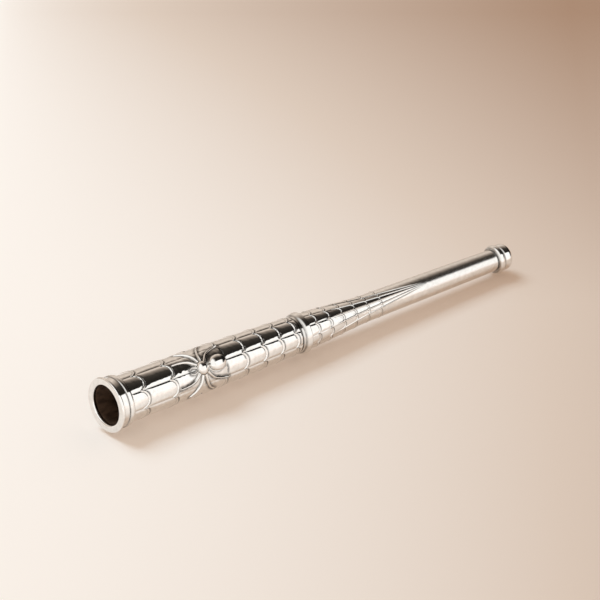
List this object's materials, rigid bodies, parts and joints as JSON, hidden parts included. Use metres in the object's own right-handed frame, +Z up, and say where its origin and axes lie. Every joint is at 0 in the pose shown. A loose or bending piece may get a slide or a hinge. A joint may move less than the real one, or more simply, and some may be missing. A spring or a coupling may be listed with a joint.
{
  "type": "magic wand",
  "caption": "Silver magic wand with a hollow spider-web handle, a raised spider, a ring collar and a slim tapering shaft that screws into the handle",
  "frame": {"origin": "middle of the wand's footprint, on the surface it lies on", "axes": "+X runs from the open mouth to the tip, +Y across the wand away from the spider's side, +Z up"},
  "size_m": [0.2642, 0.0282, 0.0281],
  "materials": {
    "silver": "polished silver plate, bright on the raised threads and darker in the corners",
    "lacquer": "dark brown lacquer inside the bore",
    "brass": "turned brass",
    "hardwood": "plain turned hardwood",
    "leather": "plain cut leather"
  },
  "bodies": {
    "handle_body": {"mouth_ferrule": "silver", "liner_tube": "lacquer", "handle_sleeve": "silver", "spider_thorax": "silver", "spider_abdomen": "silver", "spider_leg_upper_1": "silver", "spider_leg_upper_2": "silver", "spider_leg_upper_3": "silver", "spider_leg_upper_4": "silver", "spider_leg_lower_1": "silver", "spider_leg_lower_2": "silver", "spider_leg_lower_3": "silver", "spider_leg_lower_4": "silver", "spider_palp_upper": "silver", "spider_palp_lower": "silver", "joint_bush": "brass", "collar_ring": "silver"},
    "washer_body": {"joint_washer": "leather"},
    "shaft_body": {"joint_spigot": "brass", "shaft_core": "hardwood", "shaft": "silver", "tip_bead": "silver", "tip_cap": "silver", "tip_stud": "brass"}
  },
  "joints": [
    {"name": "shaft_travel", "type": "slide", "parent": "handle_body", "child": "washer_body", "axis": [0.9997, 0, -0.0254], "range_m": [0, 0.01]},
    {"name": "shaft_turn", "type": "hinge", "parent": "washer_body", "child": "shaft_body", "pos_m": [-0.00853, 0, 0.01097], "axis": [0.9997, 0, -0.0254], "range_deg": [0, 1460]}
  ],
  "couplings": [
    {"joint": "shaft_turn", "follows": "shaft_travel", "rad_per_m": 2513.3}
  ]
}
